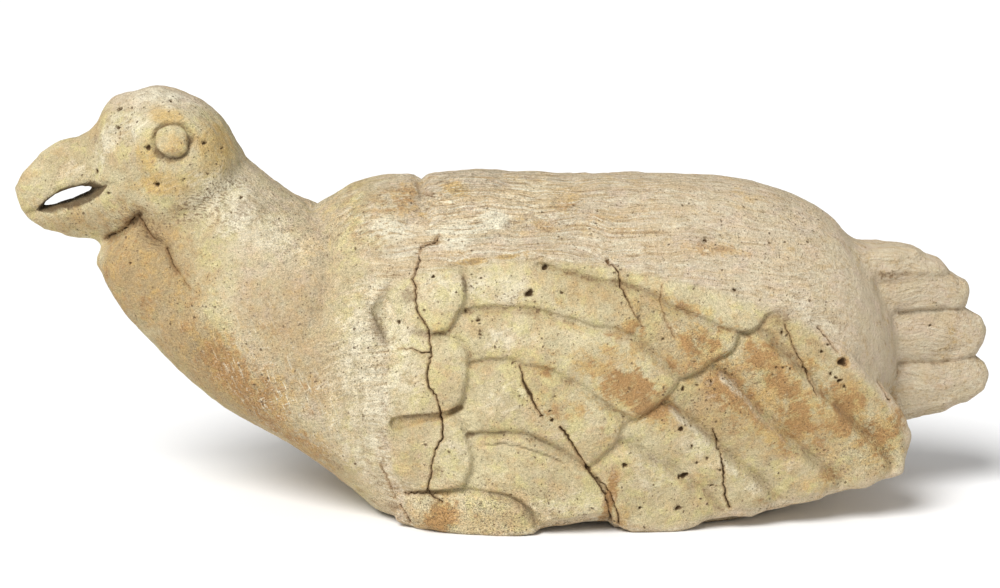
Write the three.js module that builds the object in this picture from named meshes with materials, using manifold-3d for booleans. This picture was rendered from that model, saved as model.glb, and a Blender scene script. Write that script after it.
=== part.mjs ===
// A hand-built terracotta bird at rest, about 430 mm from beak to tail, fired as one piece.
// Millimetres, +Z up. The bird faces -X and its tail points to +X.
// Outlines are drawn from the side as [x, z], and widths as [x, half width], on the bird's own datum.
// The finished figure is then cut flat underneath, centred along X and set on the ground.
import * as THREE from 'three';
import { mergeVertices } from 'three/addons/utils/BufferGeometryUtils.js';
import Module from 'manifold-3d';

// The body with the neck, from the throat to the rump.
const BODY = {
  start: -178,
  end: 177.5,
  startRounding: 20,
  endRounding: 30,
  top: [
    [-178, 118], [-150, 138], [-118, 147.5], [-108, 146.5], [-95, 135.5], [-86, 129.5], [-81, 127],
    [-77, 131], [-68, 137], [-58, 141], [-46, 143.4], [-33, 141], [-25, 143.6], [3, 144],
    [20, 142.4], [47, 143.2], [96, 141.5], [114, 138.8], [131, 133.2], [149, 121.6], [171, 99],
    [177.5, 90],
  ],
  bottom: [
    [-178, 93], [-157, 71.5], [-139, 52], [-122, 38.5], [-104, 28.5], [-86, 20.5], [-77, 15],
    [-68, 7.5], [-59, 0], [-48, -9], [-36, -12], [95, -12], [120, -4], [150, 12], [177.5, 40],
  ],
  halfWidth: [
    [-178, 27], [-165, 29], [-150, 32], [-130, 39], [-110, 47], [-90, 54], [-60, 60], [-40, 62.8],
    [0, 67.5], [50, 67], [90, 63], [120, 57], [145, 50], [165, 43], [177.5, 38],
  ],
  broadestZ: [
    [-178, 105], [-150, 92], [-120, 78], [-90, 62], [-50, 50], [0, 45], [100, 48], [150, 60], [177.5, 66],
  ],
  lowerSquareness: [[-178, 2.1], [-110, 2.2], [-50, 3.2], [0, 3.5], [110, 3.2], [177.5, 2.2]],
  upperSquareness: 2.2,
  around: 30,
  along: 42,
};

// The head and beak, from the beak's tip to the nape.
const HEAD = {
  start: -213.5,
  end: -110,
  startRounding: 6,
  endRounding: 14,
  top: [
    [-213.5, 137], [-208, 145.5], [-202, 151.5], [-197, 155], [-188, 159.5], [-182, 160.5], [-177, 164.5],
    [-172, 171], [-166, 176], [-159, 180.3], [-150, 182], [-141, 180.6], [-130, 174.8], [-120, 165],
    [-110, 150],
  ],
  bottom: [
    [-213.5, 128], [-208, 122.5], [-202, 118], [-193, 114.8], [-173, 113.2], [-150, 112],
    [-130, 116], [-118, 126], [-110, 138],
  ],
  halfWidth: [
    [-213.5, 4.5], [-205, 7], [-195, 9.5], [-185, 11.5], [-178, 14], [-170, 20], [-160, 26],
    [-148, 30], [-135, 31], [-120, 27], [-110, 20],
  ],
  broadestZ: [[-213.5, 137], [-200, 138], [-185, 141], [-172, 146], [-150, 150], [-110, 146]],
  lowerSquareness: [[-213.5, 2.2], [-110, 2.2]],
  upperSquareness: 2.1,
  around: 22,
  along: 22,
};

// The gape between the two halves of the beak goes straight through: a leaf shape of two bows.
const GAPE_FRONT = [-203, 127.5];
const GAPE_CORNER = [-169.5, 140.2];
const GAPE_UPPER_BOW = [-190, 142.5];
const GAPE_LOWER_BOW = [-183, 129];
const GAPE_CUT = 80;

// Each eye is a raised disc in a sunk ring, leaning with the head's side.
const EYE = { x: -140.5, z: 160, out: 28.4, radius: 7.4, rise: 2.2, ring: 1.7, ringRadius: 8.3, lean: 0.3 };

// The wing's outer face lies this far from the middle plane at its broadest level.
const WING_OUT = [[-60, 58], [-40, 63], [0, 69], [50, 68.5], [100, 62.5], [140, 55.5], [176, 48.5]];
const WING_BROADEST_Z = 45;
const WING_CURVE_ABOVE = 0.0036;
const WING_CURVE_BELOW = 0.0015;
const WING_THICKNESS = 14;
const BED_DEPTH = 1.2;
const BED_UPPER = [[-44, 92], [-26, 111], [25, 115], [84, 105], [118, 93], [149, 71], [170, 51], [178, 35]];
const BED_LOWER = [
  [-42, 4], [-20, -5], [16, -5], [46, 2.5], [64, -3], [90, 2.5], [121, 6], [150, 13], [174, 19],
];

// Feathers are pads of clay: how deep they are bedded, how flat they are and how far they overlap.
const PAD_DEPTH = 7;
const PAD_FLATNESS = 0.72;
const PAD_OVERLAP = 0.9;
const SUNK = -2;

// Coverts: each groove leaves the shoulder level and bends down to a feather's tip.
const COVERT_ROOT_X = -30;
const COVERT_GROOVES = [
  { root: 121.5, tip: [118, 97], bend: 1.8 },
  { root: 114, tip: [102, 83.5], bend: 1.9 },
  { root: 94.5, tip: [76.5, 65.5], bend: 3.1 },
  { root: 73, tip: [55, 48.5], bend: 2.7 },
  { root: 43.5, tip: [38, 28], bend: 3 },
  { root: 16.5, tip: [48, -3], bend: 3.4 },
];
const COVERT = { rises: [1.5, 2.5, 2.7, 2.7, 2.3], around: 10, along: 9, blunt: 3.4, emerges: 0.2 };
const FIRST_COVERT_EMERGES = 0.4;

// Flight feathers: grooves from the coverts' tips down to the wing's rim, each with its bow.
const FLIGHT_GROOVES = [
  { root: [102, 104], rim: [177, 19], bow: 15 },
  { root: [92, 99], rim: [170, 16], bow: 6 },
  { root: [75, 84], rim: [148, 10], bow: 2 },
  { root: [58, 67], rim: [122, 5], bow: 0 },
  { root: [40, 48], rim: [96, 2], bow: 2 },
  { root: [36, 34], rim: [58, -9], bow: -3 },
];
const FLIGHT = { rise: 1.3, around: 8, along: 9, blunt: 3.4, emerges: 0.16 };

// Rounded scapular pads cover the coverts' roots, and rise out of the shoulder towards their rear.
const SCAPULARS = [
  { front: -56, rear: -13, low: 83, high: 113.5, rise: 3.6 },
  { front: -58, rear: -12, low: 52.5, high: 84, rise: 3.8 },
  { front: -58, rear: -10.5, low: 16.5, high: 51.5, rise: 3.8 },
  { front: -47, rear: 18, low: -13, high: 17, rise: 4.6 },
];
const SCAPULAR = { around: 12, along: 8, blunt: 2.5, emerges: 0.7 };

// The tail is an upright fan of five broad feathers on a web.
// Its lines part the feathers from the top edge to the lower one, with their heights at root and tip.
const TAIL_ROOT_X = 148;
const TAIL_LINES = [
  { root: 110, tip: 109.5, notchX: 178 },
  { root: 104, tip: 106, notchX: 184 },
  { root: 99, tip: 97.5, notchX: 195 },
  { root: 83, tip: 83, notchX: 207 },
  { root: 60, tip: 61, notchX: 212.5 },
  { root: 26, tip: 41, notchX: 200 },
];
const TAIL_TIPS_X = [187, 197.5, 209.5, 217, 219];
const TAIL = { rootHalf: 21, tipHalf: 6.5, web: 0.72, overlap: 1.8, around: 12, along: 8, blunt: 2.7 };

// The underside's level and the middle of the length, on the bird's own datum.
const GROUND_Z = -1.8;
const MIDDLE_X = 2.75;
const GROUND_BLOCK = [600, 300, 40];

const MERGE_DISTANCE = 1e-4;
const POLE = 1e-6;

const wasm = await Module();
wasm.setup();

const { clamp, lerp } = THREE.MathUtils;

const terracotta = new THREE.MeshStandardMaterial({
  name: 'terracotta',
  color: 0xd8c3a0,
  roughness: 0.92,
  metalness: 0,
});

// A smooth curve through [x, value] points, read at any x.
function through(points) {
  const curve = new THREE.CubicInterpolant(points.map((p) => p[0]), points.map((p) => p[1]), 1);
  return (x) => curve.evaluate(x)[0];
}

// A side-view curve through points, read from 0 to 1.
function sideCurve(points) {
  const curve = new THREE.SplineCurve(points.map((p) => new THREE.Vector2(...p)));
  return (u) => curve.getPoint(u).toArray();
}

// A power that keeps the sign, which squares off a circle's sine and cosine.
const signedPower = (value, power) => Math.sign(value) * Math.abs(value) ** power;

// How full a round end is: 0 at the end itself, 1 where the rounding is over.
function endFullness(distance, rounding) {
  const t = clamp(distance / rounding, 0, 1);
  return Math.sqrt(1 - (1 - t) ** 2);
}

// Moves every vertex of a geometry by a function of its place.
function reshape(geometry, place) {
  const position = geometry.attributes.position;
  for (let i = 0; i < position.count; i += 1) {
    position.setXYZ(i, ...place(position.getX(i), position.getY(i), position.getZ(i)));
  }
  return geometry;
}

// A closed geometry as a solid that can be joined and cut.
function solid(geometry) {
  geometry.deleteAttribute('normal');
  geometry.deleteAttribute('uv');
  const merged = mergeVertices(geometry, MERGE_DISTANCE);
  return new wasm.Manifold(new wasm.Mesh({
    numProp: 3,
    vertProperties: Float32Array.from(merged.attributes.position.array),
    triVerts: Uint32Array.from(merged.index.array),
  }));
}

// A ball with its poles on X, whose grid is laid on swollen forms and pads so that both ends close.
const ball = (around, along) => new THREE.SphereGeometry(1, around, along).rotateZ(Math.PI / 2);

// A swollen form: rounded cross-sections between a top and a bottom outline.
function swollenForm(form) {
  const top = through(form.top);
  const bottom = through(form.bottom);
  const halfWidth = through(form.halfWidth);
  const broadestZ = through(form.broadestZ);
  const lowerSquareness = through(form.lowerSquareness);
  return solid(reshape(ball(form.around, form.along), (a, b, c) => {
    const x = lerp(form.start, form.end, (1 + a) / 2);
    const level = broadestZ(x);
    const ring = Math.hypot(b, c);
    if (ring < POLE) return [x, 0, level];
    const power = 2 / (c < 0 ? lowerSquareness(x) : form.upperSquareness);
    const reach = c < 0 ? level - bottom(x) : top(x) - level;
    const full = Math.min(
      endFullness(x - form.start, form.startRounding),
      endFullness(form.end - x, form.endRounding),
    );
    return [
      x,
      signedPower(b / ring, power) * halfWidth(x) * full,
      level + signedPower(c / ring, power) * reach * full,
    ];
  }));
}

// A pad of clay between two side-view lines, each read from its root at 0 to its tip at 1.
// outward(x, z, c, u) gives its y, for c from -1 on its inner face to 1 on its outer face.
function pad(upper, lower, outward, { around, along, blunt }) {
  return solid(reshape(ball(around, along), (a, b, c) => {
    const ring = Math.max(Math.hypot(b, c), POLE);
    const u = (1 + a) / 2;
    const width = (1 - Math.min(Math.abs(a), 1) ** blunt) ** (1 / blunt);
    const across = signedPower(c / ring, PAD_FLATNESS) * width;
    const outer = signedPower(-b / ring, PAD_FLATNESS) * Math.sqrt(width);
    const [upperX, upperZ] = upper(u);
    const [lowerX, lowerZ] = lower(u);
    const x = lerp(lowerX, upperX, (1 + across) / 2);
    const z = lerp(lowerZ, upperZ, (1 + across) / 2);
    return [x, outward(x, z, outer, u), z];
  }));
}

const wingOut = through(WING_OUT);

// The left wing's outer face, as a distance from the middle plane.
function wingFace(x, z) {
  const above = z - WING_BROADEST_Z;
  const curve = above > 0 ? WING_CURVE_ABOVE : WING_CURVE_BELOW;
  return wingOut(x) - curve * above * above;
}

// A pad bedded in the left wing, which emerges from its root and swells to its rise.
function wingPad(upper, lower, rise, emerges, sizes) {
  const outward = (x, z, c, u) => {
    const swell = c > 0 ? BED_DEPTH + lerp(SUNK, rise, Math.min(u / emerges, 1)) : PAD_DEPTH;
    return -(wingFace(x, z) - BED_DEPTH + swell * c);
  };
  return pad(upper, lower, outward, sizes);
}

function covertLine(groove, widen) {
  const [tipX, tipZ] = groove.tip;
  return (u) => [lerp(COVERT_ROOT_X, tipX, u), lerp(groove.root, tipZ, u ** groove.bend) + widen];
}

function flightLine(groove, widen) {
  const root = new THREE.Vector2(...groove.root);
  const rim = new THREE.Vector2(...groove.rim);
  const run = rim.clone().sub(root).normalize();
  const rearward = new THREE.Vector2(-run.y, run.x);
  const control = root.clone().lerp(rim, 0.5).addScaledVector(rearward, 2 * groove.bow);
  const curve = new THREE.QuadraticBezierCurve(root, control, rim);
  return (u) => curve.getPoint(u).addScaledVector(rearward, widen).toArray();
}

// The slab under the feathers, from its lower edge to its upper edge.
function wingBed() {
  const upper = sideCurve(BED_UPPER);
  const lower = sideCurve(BED_LOWER);
  return solid(reshape(new THREE.BoxGeometry(2, 2, 2, 16, 1, 6), (a, b, c) => {
    const [lowerX, lowerZ] = lower((1 + a) / 2);
    const [upperX, upperZ] = upper((1 + a) / 2);
    const x = lerp(lowerX, upperX, (1 + c) / 2);
    const z = lerp(lowerZ, upperZ, (1 + c) / 2);
    return [x, (b < 0 ? BED_DEPTH : WING_THICKNESS) - wingFace(x, z), z];
  }));
}

function leftWing() {
  const pads = [wingBed()];
  for (let i = 0; i + 1 < FLIGHT_GROOVES.length; i += 1) {
    const rear = flightLine(FLIGHT_GROOVES[i], PAD_OVERLAP);
    const front = flightLine(FLIGHT_GROOVES[i + 1], -PAD_OVERLAP);
    pads.push(wingPad(rear, front, FLIGHT.rise, FLIGHT.emerges, FLIGHT));
  }
  for (let i = 0; i + 1 < COVERT_GROOVES.length; i += 1) {
    const upper = covertLine(COVERT_GROOVES[i], PAD_OVERLAP);
    const lower = covertLine(COVERT_GROOVES[i + 1], -PAD_OVERLAP);
    const emerges = i === 0 ? FIRST_COVERT_EMERGES : COVERT.emerges;
    pads.push(wingPad(upper, lower, COVERT.rises[i], emerges, COVERT));
  }
  for (const { front, rear, low, high, rise } of SCAPULARS) {
    const level = (z) => (u) => [lerp(front, rear, u), z];
    pads.push(wingPad(level(high), level(low), rise, SCAPULAR.emerges, SCAPULAR));
  }
  return pads;
}

function tail() {
  const reach = Math.max(...TAIL_TIPS_X) - TAIL_ROOT_X;
  const half = (x) => lerp(TAIL.rootHalf, TAIL.tipHalf, (x - TAIL_ROOT_X) / reach);
  const line = (i, tipX, widen) => (u) => [
    lerp(TAIL_ROOT_X, tipX, u),
    lerp(TAIL_LINES[i].root, TAIL_LINES[i].tip, u) + widen,
  ];
  const feathers = TAIL_TIPS_X.map((tipX, i) => pad(
    line(i, tipX, TAIL.overlap),
    line(i + 1, tipX, -TAIL.overlap),
    (x, z, c) => -c * half(x),
    TAIL,
  ));
  const spans = TAIL_TIPS_X.length;
  const strip = new THREE.BoxGeometry(2, 2, spans, 1, 1, spans).translate(0, 0, -spans / 2);
  const web = solid(reshape(strip, (a, b, c) => {
    const i = Math.round(-c);
    const [x, z] = line(i, TAIL_LINES[i].notchX, 0)((1 + a) / 2);
    return [x, b * TAIL.web * half(x), z];
  }));
  return [web, ...feathers];
}

function gape() {
  const leaf = new THREE.Shape();
  leaf.moveTo(...GAPE_FRONT);
  leaf.quadraticCurveTo(...GAPE_UPPER_BOW, ...GAPE_CORNER);
  leaf.quadraticCurveTo(...GAPE_LOWER_BOW, ...GAPE_FRONT);
  const cut = new THREE.ExtrudeGeometry(leaf, { depth: GAPE_CUT, bevelEnabled: false, curveSegments: 8 });
  return solid(cut.rotateX(Math.PI / 2).translate(0, GAPE_CUT / 2, 0));
}

function head() {
  let shape = swollenForm(HEAD).subtract(gape());
  for (const side of [-1, 1]) {
    const set = (geometry) => {
      geometry.rotateX(side * EYE.lean).translate(EYE.x, side * EYE.out, EYE.z);
      return solid(geometry);
    };
    const ring = new THREE.TorusGeometry(EYE.ringRadius, EYE.ring, 6, 14).rotateX(Math.PI / 2);
    const disc = new THREE.SphereGeometry(EYE.radius, 14, 6).scale(1, EYE.rise / EYE.radius, 1);
    shape = shape.subtract(set(ring)).add(set(disc));
  }
  return shape;
}

function bird() {
  const left = leftWing();
  const right = left.map((piece) => piece.mirror([0, 1, 0]));
  const clay = [swollenForm(BODY), head(), ...left, ...right, ...tail()];
  const below = new THREE.BoxGeometry(...GROUND_BLOCK).translate(0, 0, GROUND_Z - GROUND_BLOCK[2] / 2);
  const whole = clay.reduce((sum, piece) => sum.add(piece)).subtract(solid(below));
  const { vertProperties, triVerts } = whole.getMesh();
  const geometry = new THREE.BufferGeometry();
  geometry.setAttribute('position', new THREE.BufferAttribute(Float32Array.from(vertProperties), 3));
  geometry.setIndex(new THREE.BufferAttribute(Uint32Array.from(triVerts), 1));
  return geometry.translate(-MIDDLE_X, 0, -GROUND_Z);
}

const figure = new THREE.Group();
figure.name = 'terracotta_bird';
const mesh = new THREE.Mesh(bird(), terracotta);
mesh.name = 'bird';
figure.add(mesh);

export default figure;
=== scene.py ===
import math

import bpy
import numpy as np
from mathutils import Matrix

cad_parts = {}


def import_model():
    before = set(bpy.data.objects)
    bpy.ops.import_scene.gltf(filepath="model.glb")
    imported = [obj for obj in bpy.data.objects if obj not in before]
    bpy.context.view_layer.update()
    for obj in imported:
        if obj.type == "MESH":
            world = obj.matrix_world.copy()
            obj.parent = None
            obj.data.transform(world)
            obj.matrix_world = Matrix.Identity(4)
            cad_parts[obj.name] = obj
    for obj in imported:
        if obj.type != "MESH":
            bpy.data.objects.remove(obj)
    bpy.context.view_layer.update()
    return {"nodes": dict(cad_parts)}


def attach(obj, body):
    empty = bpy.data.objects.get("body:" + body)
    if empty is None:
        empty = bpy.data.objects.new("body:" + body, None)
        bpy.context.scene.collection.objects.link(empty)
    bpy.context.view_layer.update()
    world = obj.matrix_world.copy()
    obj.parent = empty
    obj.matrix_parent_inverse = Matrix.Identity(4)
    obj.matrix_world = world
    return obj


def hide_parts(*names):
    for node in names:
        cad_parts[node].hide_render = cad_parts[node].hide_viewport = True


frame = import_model()

# The view. The figure lies square to the camera, which shows its left side from a little above.
# A long lens keeps the beak and the tail at nearly the same scale.
VIEW_CENTRE = (-0.00275, 0.0904)
VIEW_RISE = math.radians(12)
VIEW_DISTANCE = 1.11
LENS_MM = 90

bpy.ops.object.select_all(action="DESELECT")
bpy.ops.object.camera_add(
    location=(
        VIEW_CENTRE[0],
        -VIEW_DISTANCE * math.cos(VIEW_RISE),
        VIEW_CENTRE[1] + VIEW_DISTANCE * math.sin(VIEW_RISE),
    ),
    rotation=(math.pi / 2 - VIEW_RISE, 0, 0),
)
camera = bpy.context.object
camera.name = "view"
camera.data.lens = LENS_MM
bpy.context.scene.camera = camera
bpy.context.scene.view_settings.view_transform = "Standard"

# The clay form. The bird was built of coarse terracotta by hand and fired in one piece, and its
# head, neck and body were scraped and wiped smooth while the clay was damp.
# An even skin is laid over the solid here, cut finer where there is fine work, drawn back onto
# the solid, and smoothed where the hand smoothed it.
SKIN_CELL = 0.003
MERGE_DISTANCE = 1e-6
MM = 1000
# The maker's drawing gives places in millimetres from its own zero and ground line.
DRAWING_ZERO = np.array([2.75, 0, -1.8])
GROUP_LEVELS = 10
# Places further than this from a line count as just so far from it.
FAR = 25


def work_on(piece):
    bpy.ops.object.select_all(action="DESELECT")
    piece.select_set(True)
    bpy.context.view_layer.objects.active = piece


def apply_modifier(piece, kind, **settings):
    work_on(piece)
    modifier = piece.modifiers.new(kind.lower(), kind)
    for name, value in settings.items():
        setattr(modifier, name, value)
    bpy.ops.object.modifier_apply(modifier=modifier.name)


def edit(piece, operator, choose="SELECT", **settings):
    """One of edit mode's operators, on all the piece's faces or on those that are chosen already."""
    work_on(piece)
    bpy.context.tool_settings.mesh_select_mode = (False, False, True)
    bpy.ops.object.mode_set(mode="EDIT")
    if choose:
        bpy.ops.mesh.select_all(action=choose)
    operator(**settings)
    bpy.ops.object.mode_set(mode="OBJECT")


def read(collection, name, width):
    values = np.empty(len(collection) * width, np.float32)
    collection.foreach_get(name, values)
    return values.reshape(-1, width).astype(float)


def places_of(piece):
    """Each vertex on the maker's drawing: along, across and up, in millimetres."""
    return read(piece.data.vertices, "co", 3) * MM + DRAWING_ZERO


def put_places(piece, places):
    metres = ((places - DRAWING_ZERO) / MM).astype(np.float32)
    piece.data.vertices.foreach_set("co", metres.ravel())
    piece.data.update()


def ease(value, low, high):
    """0 below low, 1 above high, and a smooth rise between them."""
    t = np.clip((value - low) / (high - low), 0, 1)
    return t * t * (3 - 2 * t)


def bell(value, width):
    """1 at 0, and next to nothing at twice this width."""
    return np.exp(-((value / width) ** 2))


def through(points, steps=7):
    """A smooth line through the points, as a fine row of points."""
    knots = np.array(points, float)
    before = np.vstack([2 * knots[0] - knots[1], knots[:-1]])
    after = np.vstack([knots[1:], 2 * knots[-1] - knots[-2]])
    slopes = (after - before) / 2
    t = np.linspace(0, 1, steps, endpoint=False)[:, None]
    spans = []
    for i in range(len(knots) - 1):
        start = (2 * t**3 - 3 * t**2 + 1) * knots[i] + (t**3 - 2 * t**2 + t) * slopes[i]
        end = (3 * t**2 - 2 * t**3) * knots[i + 1] + (t**3 - t**2) * slopes[i + 1]
        spans.append(start + end)
    return np.vstack([*spans, knots[-1:]])


def gap_to(line, side, reach=FAR):
    """How far each side-view place is from a line, up to reach, and where along it, from 0 to 1."""
    gap = np.full(len(side), float(reach))
    along = np.zeros(len(side))
    near = np.flatnonzero(np.all((side > line.min(0) - reach) & (side < line.max(0) + reach), axis=1))
    here, best, at = side[near], gap[near], along[near]
    lengths = np.linalg.norm(np.diff(line, axis=0), axis=1)
    passed = np.concatenate([[0], np.cumsum(lengths)])
    for k, length in enumerate(lengths):
        run = (line[k + 1] - line[k]) / max(length, 1e-9)
        t = np.clip((here - line[k]) @ run, 0, length)
        away = here - line[k] - t[:, None] * run
        distance = np.hypot(away[:, 0], away[:, 1])
        closer = distance < best
        best[closer] = distance[closer]
        at[closer] = (passed[k] + t[closer]) / passed[-1]
    gap[near], along[near] = best, at
    return gap, along


def inside(outline, side):
    """Which side-view places lie inside a closed outline."""
    x, z = side[:, 0], side[:, 1]
    crossed = np.zeros(len(side), bool)
    for (ax, az), (bx, bz) in zip(outline, np.roll(outline, -1, axis=0)):
        if az != bz:
            crossed ^= ((az > z) != (bz > z)) & (x < (bx - ax) * (z - az) / (bz - az) + ax)
    return crossed


def depth_in(outline, side, reach=FAR):
    """How deep each place lies inside a closed outline; outside it this is negative."""
    gap, _ = gap_to(np.vstack([outline, outline[:1]]), side, reach)
    return np.where(inside(outline, side), gap, -gap)


def outline_of(*lines):
    """A closed outline that runs through each of these lines in turn."""
    return np.vstack([through(line)[:-1] for line in lines])


def swell(places, length, seed, count=28):
    """Soft random unevenness of about this wavelength in millimetres, mostly from -1 to 1."""
    random = np.random.default_rng(seed)
    headings = random.normal(size=(count, 3))
    headings /= np.linalg.norm(headings, axis=1)[:, None]
    pace = 2 * math.pi / length * random.uniform(0.7, 1.4, count)
    phase = random.uniform(0, 2 * math.pi, count)
    return np.cos(places @ (headings * pace[:, None]).T + phase).sum(1) / math.sqrt(2 * count)


def weigh(piece, name, weights):
    """A vertex group of these weights, in steps of a tenth."""
    group = piece.vertex_groups.new(name=name)
    steps = np.rint(np.clip(weights, 0, 1) * GROUP_LEVELS).astype(int)
    for step in range(1, GROUP_LEVELS + 1):
        group.add(np.flatnonzero(steps == step).tolist(), step / GROUP_LEVELS, "REPLACE")
    return group.name


def cut_finer(piece, chosen):
    """Cuts every face whose corners are all chosen into four."""
    mesh = piece.data
    corners = np.empty(len(mesh.loops), np.int32)
    mesh.loops.foreach_get("vertex_index", corners)
    starts = np.empty(len(mesh.polygons), np.int32)
    mesh.polygons.foreach_get("loop_start", starts)
    picked = np.logical_and.reduceat(chosen[corners], starts)
    edit(piece, bpy.ops.mesh.select_all, None, action="DESELECT")
    mesh.polygons.foreach_set("select", picked)
    edit(piece, bpy.ops.mesh.subdivide, None, number_cuts=1, ngon=False)


solid = frame["nodes"]["bird"]
bird = bpy.data.objects.new("bird_clay", solid.data.copy())
bpy.context.scene.collection.objects.link(bird)
edit(bird, bpy.ops.mesh.remove_doubles, threshold=MERGE_DISTANCE)
apply_modifier(bird, "REMESH", mode="VOXEL", voxel_size=SKIN_CELL, use_smooth_shade=True)

# The gape. A leaf-shaped opening was cut straight through between the two halves of the beak.
# It is narrower at its ends than the skin's cell, so it is cut again here with its own blade.
GAPE_FRONT = (-203, 127.5)
GAPE_CORNER = (-169.5, 141)
GAPE_UPPER_BOW = (-187, 144.3)
GAPE_LOWER_BOW = (-180, 127.8)
GAPE_STEPS = 10
# The opening narrows inside the beak: at the middle plane it has this share of its size outside.
GAPE_MIDDLE = np.array([-187, 134.5])
GAPE_NARROWING = 0.8
BLADE_SECTIONS = [(-40, 1), (-17, 1), (0, GAPE_NARROWING), (17, 1), (40, 1)]


def bow(start, pull, end):
    t = np.linspace(0, 1, GAPE_STEPS, endpoint=False)[:, None]
    return (1 - t) ** 2 * np.array(start) + 2 * t * (1 - t) * np.array(pull) + t**2 * np.array(end)


upper_edge = bow(GAPE_FRONT, GAPE_UPPER_BOW, GAPE_CORNER)
lower_edge = bow(GAPE_CORNER, GAPE_LOWER_BOW, GAPE_FRONT)
leaf = np.vstack([upper_edge, lower_edge])
rim_count = len(leaf)
blade_places = [
    (x, y, z) for y, share in BLADE_SECTIONS for x, z in GAPE_MIDDLE + (leaf - GAPE_MIDDLE) * share
]
blade_faces = [
    (start + i, start + (i + 1) % rim_count, start + (i + 1) % rim_count + rim_count, start + i + rim_count)
    for start in range(0, rim_count * (len(BLADE_SECTIONS) - 1), rim_count)
    for i in range(rim_count)
]
last_rim = len(blade_places) - rim_count
blade_faces += [tuple(range(rim_count))[::-1], tuple(range(last_rim, len(blade_places)))]
blade_mesh = bpy.data.meshes.new("gape_blade")
blade_mesh.from_pydata((np.array(blade_places) - DRAWING_ZERO) / MM, [], blade_faces)
blade = bpy.data.objects.new("gape_blade", blade_mesh)
bpy.context.scene.collection.objects.link(blade)
edit(blade, bpy.ops.mesh.normals_make_consistent, inside=False)
apply_modifier(bird, "BOOLEAN", object=blade, operation="DIFFERENCE", solver="EXACT")
bpy.data.objects.remove(blade)
edit(bird, bpy.ops.mesh.select_face_by_sides, "DESELECT", number=4, type="GREATER")
edit(bird, bpy.ops.mesh.quads_convert_to_tris, None)

# The maker's lines, from the side. Feathers were cut in with a blunt stick: rows of coverts below
# the wing's top line, long flight feathers behind them, and rounded lobes at the shoulder.
WING_TOP = [(-46, 108), (-25, 113), (8, 116.3), (42, 114.6), (84, 105.8), (117.7, 94.3)]
WING_REAR = [
    (117.7, 94.3), (133.7, 85.9), (148.9, 70.8), (160.4, 60.5), (171.3, 47.4), (176.6, 32.5), (173.7, 19.4),
]
WING_RIM = [
    (173.7, 19.4), (137.4, 10.9), (98.4, 4.5), (64, -2.5), (48, 3), (19, -1.5), (-17, -4), (-43, 1),
]
WING_FRONT = [(-43, 1), (-47.5, 22.7), (-50, 45), (-50, 78.7), (-54.5, 94), (-46, 108)]
COVERT_1 = [(17.2, 111.9), (37.8, 107.1), (58.9, 102.5), (75.8, 94), (92.8, 87), (101.3, 83.9)]
COVERT_2 = [(-14.3, 93.5), (0, 95.2), (16.8, 94), (37.7, 88.3), (54.5, 84.5), (67.2, 74.7), (75.8, 65.4)]
COVERT_3 = [(-12.6, 72), (0, 74.1), (16.8, 71.2), (31.5, 65.3), (42, 57.3), (55.5, 48.5)]
COVERT_4 = [(-12.6, 42.2), (0, 43.6), (12.6, 42.3), (25.3, 36.1), (37.1, 28.6)]
COVERT_5 = [(-41.8, 14.9), (-17, 17.1), (0, 16.1), (10.6, 11.1), (17, 0)]
COVERT_4_RIB = [(-6.3, 39.4), (6.3, 39.1), (18.9, 35.2), (29.5, 29.9)]
TIP_0 = [(117.7, 92.6), (113.4, 89.6), (109.9, 85.6), (105.6, 83.7), (101.3, 83.9)]
TIP_1 = [(101.3, 83.9), (98.3, 77), (89.8, 72.7), (84.2, 68.3), (75.8, 65.4)]
TIP_2 = [(75.8, 65.4), (70.7, 59.1), (63.1, 52.9), (55.5, 48.5)]
TIP_3 = [(55.5, 48.5), (52.2, 46.4), (49.7, 40.4), (45.1, 35.2), (37.1, 28.6)]
TIP_4 = [(37.1, 28.6), (42.3, 21.6), (46.2, 13.8), (48.5, 2.6)]
FLIGHT_1 = [(108.6, 85.6), (125, 70.9), (142.6, 51.8), (165.3, 28.5), (170.2, 19.2)]
FLIGHT_2 = [(89.8, 70.5), (101.4, 61), (111, 49.4), (127.9, 33.6), (145, 18.3), (147, 12.7)]
FLIGHT_3 = [(69.5, 56.1), (84.5, 43.5), (99, 30.1), (113.2, 17.2), (120.8, 9.5)]
FLIGHT_4 = [(50.5, 40), (67.7, 29.6), (87.3, 15.3), (94.8, 7.2)]
LOBE_1 = [(-25.3, 113.2), (-16, 109.5), (-13.9, 102.4), (-14.3, 97), (-17.7, 91), (-21, 86), (-27, 84)]
LOBE_2 = [(-27, 84), (-17.5, 81.5), (-13.4, 77.3), (-12.6, 69.9), (-13.4, 63.6), (-15.6, 57.2), (-20, 52.5)]
LOBE_3 = [(-20, 52.5), (-15.2, 46.4), (-12.7, 40), (-11, 31.3), (-13.6, 22.2), (-19.1, 17.4)]
LOBE_1_FOOT = [(-27, 84), (-36, 84.5)]
SLOT = [(-43.5, 45.5), (-34.6, 48.6), (-25.3, 50.2), (-16.4, 53.6)]
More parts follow.
